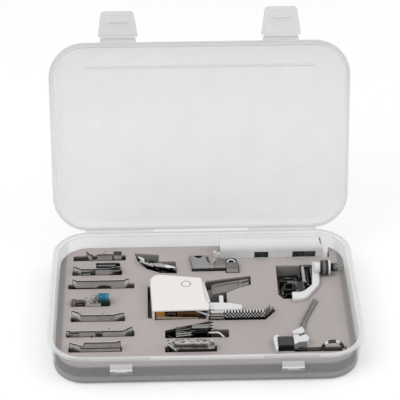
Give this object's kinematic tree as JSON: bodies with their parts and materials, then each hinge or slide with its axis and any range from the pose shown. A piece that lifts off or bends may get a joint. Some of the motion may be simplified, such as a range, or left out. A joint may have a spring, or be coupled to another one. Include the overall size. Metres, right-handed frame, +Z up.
{
  "type": "sewing machine attachment box",
  "caption": "Flat translucent case with a film-hinged lid and snap latches, holding presser feet and attachments that lift out of a die-cut foam insert.",
  "frame": {"origin": "centre of the case's underside", "axes": "+Z up, +X to the right along the case's long side, +Y to the hinge at the back"},
  "size_m": [0.2, 0.1797, 0.1711],
  "materials": {
    "case_plastic": "frosted translucent moulded plastic, satin",
    "foam": "closed-cell foam, fine matte skin",
    "foot_steel": "polished plated steel",
    "tool_steel": "ground steel",
    "white_plastic": "white moulded plastic, satin gloss",
    "grey_plastic": "dark grey moulded plastic, fine matte",
    "clear_plastic": "clear moulded plastic, gloss",
    "blue_acrylic": "tinted clear plastic, gloss",
    "brass": "bare brass, slightly dulled"
  },
  "bodies": {
    "root": {"base_tray": "case_plastic", "hinge_film_left": "case_plastic", "hinge_film_right": "case_plastic", "foam_die_cut_layer": "foam", "foam_backing_sheet": "foam"},
    "lid": {"lid_shell": "case_plastic", "latch_film_left": "case_plastic", "latch_film_right": "case_plastic"},
    "latch_left": {"latch_left": "case_plastic"},
    "latch_right": {"latch_right": "case_plastic"},
    "zipper_foot": {"zipper_foot_sole": "foot_steel"},
    "hemmer_foot": {"hemmer_foot": "foot_steel", "hemmer_foot_screw": "foot_steel"},
    "plate_foot": {"plate_foot": "foot_steel"},
    "edge_guide_foot": {"edge_guide_foot": "clear_plastic", "edge_guide_rod": "foot_steel"},
    "sled_foot": {"sled_foot": "foot_steel"},
    "overcast_foot": {"overcast_foot": "foot_steel"},
    "blind_hem_foot": {"blind_hem_foot": "foot_steel", "blind_hem_blade": "foot_steel"},
    "binder_foot": {"binder_foot": "foot_steel", "binder_folder": "foot_steel"},
    "satin_foot": {"satin_foot": "clear_plastic", "satin_foot_bar": "foot_steel"},
    "gathering_foot": {"gathering_foot": "foot_steel", "gathering_foot_bars": "foot_steel"},
    "low_shank_foot": {"low_shank_shank": "foot_steel", "low_shank_block": "foot_steel", "low_shank_sole": "foot_steel"},
    "buttonhole_foot": {"buttonhole_frame": "white_plastic", "buttonhole_stop": "white_plastic"},
    "side_cutter": {"side_cutter_bracket": "white_plastic", "side_cutter_frame": "grey_plastic", "side_cutter_clamp_screw": "foot_steel", "side_cutter_collar": "white_plastic", "side_cutter_guide_bar": "foot_steel", "side_cutter_spring": "tool_steel", "side_cutter_knives": "tool_steel"},
    "darning_foot": {"darning_foot_block": "grey_plastic", "darning_foot_clip": "white_plastic", "darning_foot_cheeks": "white_plastic"},
    "walking_foot": {"walking_foot_housing": "white_plastic", "walking_foot_cover": "white_plastic", "walking_foot_clamp": "brass", "walking_foot_plunger": "tool_steel", "walking_foot_cam": "brass", "walking_foot_pivot_pin": "tool_steel", "walking_foot_link": "foot_steel", "walking_foot_jaw_carrier": "white_plastic", "walking_foot_sole": "foot_steel"},
    "zipper_clamp": {"zipper_foot_clamp": "foot_steel"},
    "edge_guide": {"edge_guide_blue": "blue_acrylic"},
    "buttonhole_slider": {"buttonhole_slider": "grey_plastic"},
    "thumb_nut": {"side_cutter_thumb_nut": "grey_plastic"},
    "darning_lever": {"darning_foot_lever": "tool_steel"},
    "darning_ring": {"darning_foot_ring": "foot_steel"},
    "fork_arm": {"walking_foot_fork_arm": "grey_plastic"},
    "feed_jaw": {"walking_foot_feed_jaw": "tool_steel"}
  },
  "joints": [
    {"name": "lid_hinge", "type": "hinge", "parent": "root", "child": "lid", "pos_m": [0, 0.06585, 0.02337], "axis": [-1, 0, 0], "range_deg": [-107.5, 72.5]},
    {"name": "latch_left_hinge", "type": "hinge", "parent": "lid", "child": "latch_left", "pos_m": [-0.0536, 0.10634, 0.15153], "axis": [-1, 0, 0], "range_deg": [-72, 58]},
    {"name": "latch_right_hinge", "type": "hinge", "parent": "lid", "child": "latch_right", "pos_m": [0.0536, 0.10634, 0.15153], "axis": [-1, 0, 0], "range_deg": [-90, 40]},
    {"name": "zipper_foot_lift", "type": "slide", "parent": "root", "child": "zipper_foot", "axis": [0, 0, 1], "range_m": [0, 0.03]},
    {"name": "hemmer_foot_lift", "type": "slide", "parent": "root", "child": "hemmer_foot", "axis": [0, 0, 1], "range_m": [0, 0.03]},
    {"name": "plate_foot_lift", "type": "slide", "parent": "root", "child": "plate_foot", "axis": [0, 0, 1], "range_m": [0, 0.03]},
    {"name": "edge_guide_foot_lift", "type": "slide", "parent": "root", "child": "edge_guide_foot", "axis": [0, 0, 1], "range_m": [0, 0.03]},
    {"name": "sled_foot_lift", "type": "slide", "parent": "root", "child": "sled_foot", "axis": [0, 0, 1], "range_m": [0, 0.03]},
    {"name": "overcast_foot_lift", "type": "slide", "parent": "root", "child": "overcast_foot", "axis": [0, 0, 1], "range_m": [0, 0.03]},
    {"name": "blind_hem_foot_lift", "type": "slide", "parent": "root", "child": "blind_hem_foot", "axis": [0, 0, 1], "range_m": [0, 0.03]},
    {"name": "binder_foot_lift", "type": "slide", "parent": "root", "child": "binder_foot", "axis": [0, 0, 1], "range_m": [0, 0.03]},
    {"name": "satin_foot_lift", "type": "slide", "parent": "root", "child": "satin_foot", "axis": [0, 0, 1], "range_m": [0, 0.03]},
    {"name": "gathering_foot_lift", "type": "slide", "parent": "root", "child": "gathering_foot", "axis": [0, 0, 1], "range_m": [0, 0.03]},
    {"name": "low_shank_foot_lift", "type": "slide", "parent": "root", "child": "low_shank_foot", "axis": [0, 0, 1], "range_m": [0, 0.03]},
    {"name": "buttonhole_foot_lift", "type": "slide", "parent": "root", "child": "buttonhole_foot", "axis": [0, 0, 1], "range_m": [0, 0.03]},
    {"name": "side_cutter_lift", "type": "slide", "parent": "root", "child": "side_cutter", "axis": [0, 0, 1], "range_m": [0, 0.03]},
    {"name": "darning_foot_lift", "type": "slide", "parent": "root", "child": "darning_foot", "axis": [0, 0, 1], "range_m": [0, 0.03]},
    {"name": "walking_foot_lift", "type": "slide", "parent": "root", "child": "walking_foot", "axis": [0, 0, 1], "range_m": [0, 0.03]},
    {"name": "zipper_clamp_slide", "type": "slide", "parent": "zipper_foot", "child": "zipper_clamp", "axis": [0, 0, 1], "range_m": [-0.001, 0.001]},
    {"name": "edge_guide_slide", "type": "slide", "parent": "edge_guide_foot", "child": "edge_guide", "axis": [0, 0, 1], "range_m": [0, 0.005]},
    {"name": "buttonhole_slide", "type": "slide", "parent": "buttonhole_foot", "child": "buttonhole_slider", "axis": [1, 0, 0], "range_m": [-0.004, 0.004]},
    {"name": "thumb_nut_turn", "type": "hinge", "parent": "side_cutter", "child": "thumb_nut", "pos_m": [0.0811, 0.0283, 0.01855], "axis": [1, 0, 0], "continuous": true},
    {"name": "darning_lever_turn", "type": "hinge", "parent": "darning_foot", "child": "darning_lever", "pos_m": [0.0602, -0.0346, 0.0143], "axis": [0, 0, -1], "range_deg": [0, 25]},
    {"name": "darning_ring_travel", "type": "slide", "parent": "darning_foot", "child": "darning_ring", "axis": [-1, 0, 0], "range_m": [0, 0.0035]},
    {"name": "fork_arm_swing", "type": "hinge", "parent": "walking_foot", "child": "fork_arm", "pos_m": [-0.007, 0.0104, 0.008], "axis": [0, 0, 1], "range_deg": [0, 3]},
    {"name": "feed_jaw_travel", "type": "slide", "parent": "walking_foot", "child": "feed_jaw", "axis": [0, 1, 0], "range_m": [0, 0.0008]}
  ],
  "couplings": [
    {"joint": "feed_jaw_travel", "follows": "fork_arm_swing", "m_per_rad": 0.015}
  ]
}
